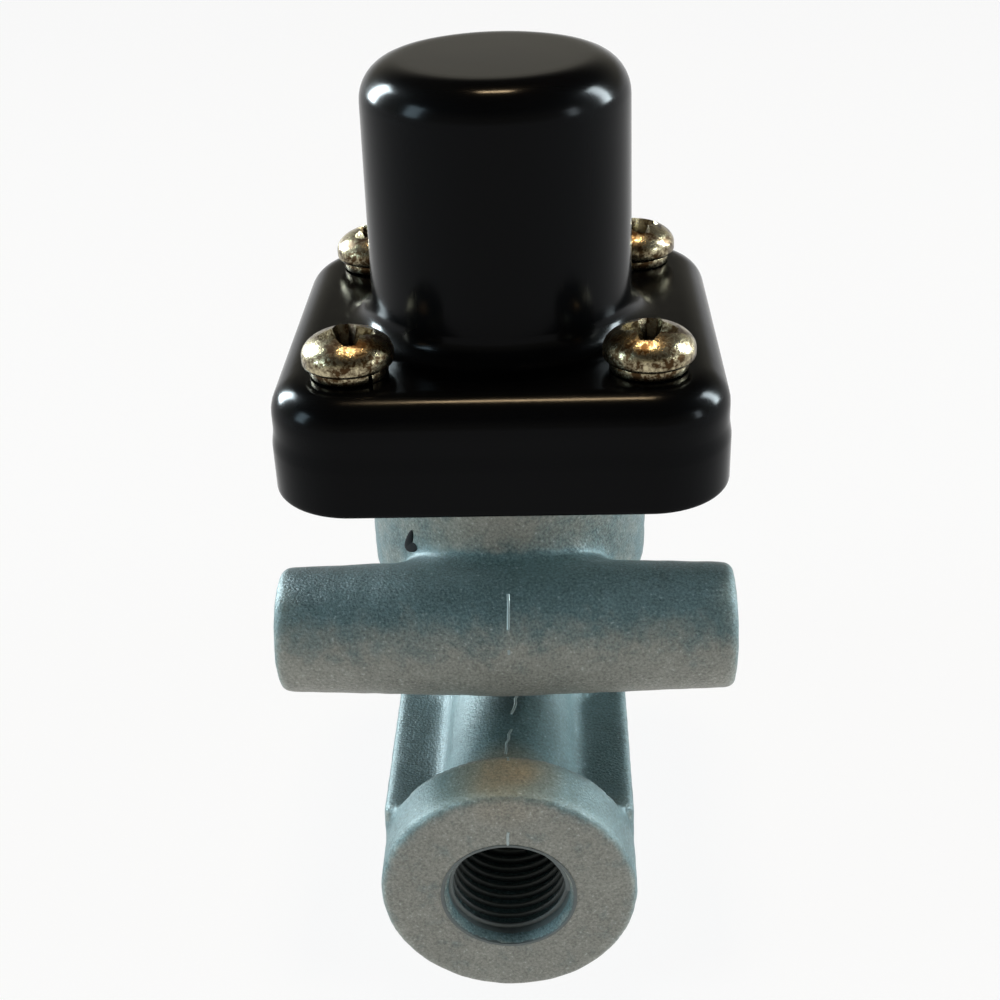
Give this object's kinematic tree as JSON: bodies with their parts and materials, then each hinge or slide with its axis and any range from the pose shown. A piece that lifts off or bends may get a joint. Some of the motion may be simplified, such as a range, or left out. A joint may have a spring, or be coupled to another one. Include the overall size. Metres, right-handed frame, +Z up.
{
  "type": "pressure protection valve",
  "caption": "Air brake pressure protection valve: cast body with two in-line threaded ports and a cross mounting bar, black drawn spring cover, screws, and a sprung piston inside.",
  "frame": {"origin": "middle of the mounting bore that runs through the cross bar", "axes": "+X along the mounting bore, +Y from the supply port towards the delivery port, +Z up along the spring cover"},
  "size_m": [0.05, 0.076, 0.0941],
  "materials": {
    "cast_body": "sand-textured die casting",
    "cover_paint": "gloss black enamel on drawn steel",
    "gasket_sheet": "compressed fibre sheet",
    "seat_brass": "turned brass",
    "seal_rubber": "black nitrile rubber",
    "piston_metal": "turned aluminium",
    "guide_plastic": "filled plastic bearing strip",
    "inner_steel": "plain steel, lightly oiled",
    "screw_plating": "yellow zinc plating",
    "washer_plating": "yellow zinc plating"
  },
  "bodies": {
    "housing": {"valve_body": "cast_body", "spring_cover": "cover_paint", "cover_gasket": "gasket_sheet", "valve_seat": "seat_brass", "seat_ring": "seal_rubber", "pressure_spring": "inner_steel", "upper_spring_seat": "inner_steel", "preset_shim_1": "inner_steel", "preset_shim_2": "inner_steel", "cover_screw_1": "screw_plating", "lock_washer_1": "washer_plating", "cover_screw_2": "screw_plating", "lock_washer_2": "washer_plating", "cover_screw_3": "screw_plating", "lock_washer_3": "washer_plating", "cover_screw_4": "screw_plating", "lock_washer_4": "washer_plating"},
    "piston_group": {"piston": "piston_metal", "piston_seal": "seal_rubber", "guide_ring": "guide_plastic", "valve_disc": "seal_rubber", "disc_retainer": "inner_steel", "disc_screw": "inner_steel"}
  },
  "joints": [
    {"name": "piston_lift", "type": "slide", "parent": "housing", "child": "piston_group", "axis": [0, 0, 1], "range_m": [0, 0.0024], "stiffness_N_per_m": 8800, "springref_m": -0.021, "deforming": ["pressure_spring"]}
  ]
}
